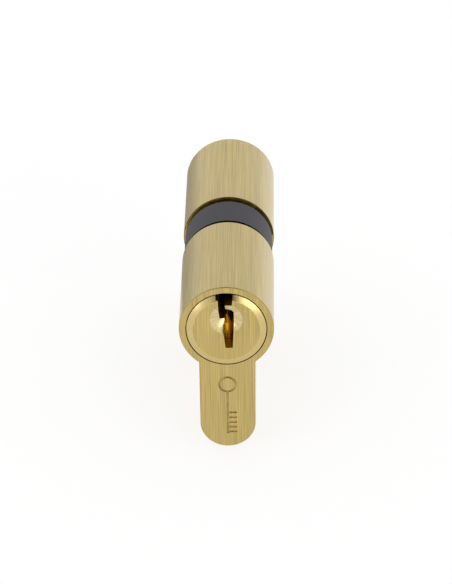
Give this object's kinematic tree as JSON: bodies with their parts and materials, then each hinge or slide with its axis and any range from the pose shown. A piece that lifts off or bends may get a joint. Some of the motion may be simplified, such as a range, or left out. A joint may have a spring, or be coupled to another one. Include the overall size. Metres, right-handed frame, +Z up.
{
  "type": "euro-profile double lock cylinder",
  "caption": "Double-sided profile lock cylinder: a round barrel on a round-footed stem, with a keyed core in each end and a turning cam with a lever in the gap between them.",
  "frame": {"origin": "centre of the fixing screw's hole, midway along the cylinder and across its stem", "axes": "+Y along the barrel from the front face to the rear face, +X along the fixing screw's hole, +Z up from the foot to the barrel"},
  "size_m": [0.017, 0.0608, 0.033],
  "materials": {
    "satin_brass": "satin, brushed along the barrel",
    "turned_brass": "fine turned",
    "sintered_steel": "dull dark grey, sintered and oiled",
    "spring_steel": "bright drawn wire and strip",
    "nickel_silver": "turned nickel silver"
  },
  "bodies": {
    "housing": {"housing": "satin_brass", "front_pin_spring_1": "spring_steel", "front_seal_1": "turned_brass", "front_pin_spring_2": "spring_steel", "front_seal_2": "turned_brass", "front_pin_spring_3": "spring_steel", "front_seal_3": "turned_brass", "front_pin_spring_4": "spring_steel", "front_seal_4": "turned_brass", "front_pin_spring_5": "spring_steel", "front_seal_5": "turned_brass", "rear_pin_spring_1": "spring_steel", "rear_seal_1": "turned_brass", "rear_pin_spring_2": "spring_steel", "rear_seal_2": "turned_brass", "rear_pin_spring_3": "spring_steel", "rear_seal_3": "turned_brass", "rear_pin_spring_4": "spring_steel", "rear_seal_4": "turned_brass", "rear_pin_spring_5": "spring_steel", "rear_seal_5": "turned_brass"},
    "front_core": {"front_core": "satin_brass", "front_retaining_clip": "spring_steel"},
    "rear_core": {"rear_core": "satin_brass", "rear_retaining_clip": "spring_steel"},
    "cam": {"cam": "sintered_steel"},
    "front_clutch": {"front_clutch": "sintered_steel"},
    "rear_clutch": {"rear_clutch": "sintered_steel"},
    "front_key_pin_1": {"front_key_pin_1": "turned_brass"},
    "front_driver_pin_1": {"front_driver_pin_1": "nickel_silver"},
    "front_key_pin_2": {"front_key_pin_2": "turned_brass"},
    "front_driver_pin_2": {"front_driver_pin_2": "nickel_silver"},
    "front_key_pin_3": {"front_key_pin_3": "turned_brass"},
    "front_driver_pin_3": {"front_driver_pin_3": "nickel_silver"},
    "front_key_pin_4": {"front_key_pin_4": "turned_brass"},
    "front_driver_pin_4": {"front_driver_pin_4": "nickel_silver"},
    "front_key_pin_5": {"front_key_pin_5": "turned_brass"},
    "front_driver_pin_5": {"front_driver_pin_5": "nickel_silver"},
    "rear_key_pin_1": {"rear_key_pin_1": "turned_brass"},
    "rear_driver_pin_1": {"rear_driver_pin_1": "nickel_silver"},
    "rear_key_pin_2": {"rear_key_pin_2": "turned_brass"},
    "rear_driver_pin_2": {"rear_driver_pin_2": "nickel_silver"},
    "rear_key_pin_3": {"rear_key_pin_3": "turned_brass"},
    "rear_driver_pin_3": {"rear_driver_pin_3": "nickel_silver"},
    "rear_key_pin_4": {"rear_key_pin_4": "turned_brass"},
    "rear_driver_pin_4": {"rear_driver_pin_4": "nickel_silver"},
    "rear_key_pin_5": {"rear_key_pin_5": "turned_brass"},
    "rear_driver_pin_5": {"rear_driver_pin_5": "nickel_silver"}
  },
  "joints": [
    {"name": "core_turn_front", "type": "hinge", "parent": "housing", "child": "front_core", "pos_m": [0, 0, 0.0202], "axis": [0, 1, 0], "continuous": true},
    {"name": "core_turn_rear", "type": "hinge", "parent": "housing", "child": "rear_core", "pos_m": [0, 0, 0.0202], "axis": [0, 1, 0], "continuous": true},
    {"name": "cam_turn", "type": "hinge", "parent": "housing", "child": "cam", "pos_m": [0, 0, 0.0202], "axis": [0, 1, 0], "continuous": true},
    {"name": "clutch_shift_front", "type": "slide", "parent": "front_core", "child": "front_clutch", "axis": [0, -1, 0], "range_m": [0, 0.0018]},
    {"name": "clutch_shift_rear", "type": "slide", "parent": "rear_core", "child": "rear_clutch", "axis": [0, -1, 0], "range_m": [0, 0.0018]},
    {"name": "key_pin_lift_front_1", "type": "slide", "parent": "front_core", "child": "front_key_pin_1", "axis": [0, 0, 1], "range_m": [0, 0.0004]},
    {"name": "driver_pin_drop_front_1", "type": "slide", "parent": "housing", "child": "front_driver_pin_1", "axis": [0, 0, 1], "range_m": [-0.003, 0], "stiffness_N_per_m": 200, "springref_m": 0.003, "deforming": ["front_pin_spring_1"]},
    {"name": "key_pin_lift_front_2", "type": "slide", "parent": "front_core", "child": "front_key_pin_2", "axis": [0, 0, 1], "range_m": [0, 0.0019]},
    {"name": "driver_pin_drop_front_2", "type": "slide", "parent": "housing", "child": "front_driver_pin_2", "axis": [0, 0, 1], "range_m": [-0.003, 0], "stiffness_N_per_m": 200, "springref_m": 0.003, "deforming": ["front_pin_spring_2"]},
    {"name": "key_pin_lift_front_3", "type": "slide", "parent": "front_core", "child": "front_key_pin_3", "axis": [0, 0, 1], "range_m": [0, 0.0011]},
    {"name": "driver_pin_drop_front_3", "type": "slide", "parent": "housing", "child": "front_driver_pin_3", "axis": [0, 0, 1], "range_m": [-0.003, 0], "stiffness_N_per_m": 200, "springref_m": 0.003, "deforming": ["front_pin_spring_3"]},
    {"name": "key_pin_lift_front_4", "type": "slide", "parent": "front_core", "child": "front_key_pin_4", "axis": [0, 0, 1], "range_m": [0, 0.0024]},
    {"name": "driver_pin_drop_front_4", "type": "slide", "parent": "housing", "child": "front_driver_pin_4", "axis": [0, 0, 1], "range_m": [-0.003, 0], "stiffness_N_per_m": 200, "springref_m": 0.003, "deforming": ["front_pin_spring_4"]},
    {"name": "key_pin_lift_front_5", "type": "slide", "parent": "front_core", "child": "front_key_pin_5", "axis": [0, 0, 1], "range_m": [0, 0.0016]},
    {"name": "driver_pin_drop_front_5", "type": "slide", "parent": "housing", "child": "front_driver_pin_5", "axis": [0, 0, 1], "range_m": [-0.003, 0], "stiffness_N_per_m": 200, "springref_m": 0.003, "deforming": ["front_pin_spring_5"]},
    {"name": "key_pin_lift_rear_1", "type": "slide", "parent": "rear_core", "child": "rear_key_pin_1", "axis": [0, 0, 1], "range_m": [0, 0.0004]},
    {"name": "driver_pin_drop_rear_1", "type": "slide", "parent": "housing", "child": "rear_driver_pin_1", "axis": [0, 0, 1], "range_m": [-0.003, 0], "stiffness_N_per_m": 200, "springref_m": 0.003, "deforming": ["rear_pin_spring_1"]},
    {"name": "key_pin_lift_rear_2", "type": "slide", "parent": "rear_core", "child": "rear_key_pin_2", "axis": [0, 0, 1], "range_m": [0, 0.0019]},
    {"name": "driver_pin_drop_rear_2", "type": "slide", "parent": "housing", "child": "rear_driver_pin_2", "axis": [0, 0, 1], "range_m": [-0.003, 0], "stiffness_N_per_m": 200, "springref_m": 0.003, "deforming": ["rear_pin_spring_2"]},
    {"name": "key_pin_lift_rear_3", "type": "slide", "parent": "rear_core", "child": "rear_key_pin_3", "axis": [0, 0, 1], "range_m": [0, 0.0011]},
    {"name": "driver_pin_drop_rear_3", "type": "slide", "parent": "housing", "child": "rear_driver_pin_3", "axis": [0, 0, 1], "range_m": [-0.003, 0], "stiffness_N_per_m": 200, "springref_m": 0.003, "deforming": ["rear_pin_spring_3"]},
    {"name": "key_pin_lift_rear_4", "type": "slide", "parent": "rear_core", "child": "rear_key_pin_4", "axis": [0, 0, 1], "range_m": [0, 0.0024]},
    {"name": "driver_pin_drop_rear_4", "type": "slide", "parent": "housing", "child": "rear_driver_pin_4", "axis": [0, 0, 1], "range_m": [-0.003, 0], "stiffness_N_per_m": 200, "springref_m": 0.003, "deforming": ["rear_pin_spring_4"]},
    {"name": "key_pin_lift_rear_5", "type": "slide", "parent": "rear_core", "child": "rear_key_pin_5", "axis": [0, 0, 1], "range_m": [0, 0.0016]},
    {"name": "driver_pin_drop_rear_5", "type": "slide", "parent": "housing", "child": "rear_driver_pin_5", "axis": [0, 0, 1], "range_m": [-0.003, 0], "stiffness_N_per_m": 200, "springref_m": 0.003, "deforming": ["rear_pin_spring_5"]}
  ],
  "couplings": [
    {"joint": "cam_turn", "follows": "core_turn_front", "ratio": 1},
    {"joint": "clutch_shift_rear", "follows": "clutch_shift_front", "ratio": 1}
  ]
}
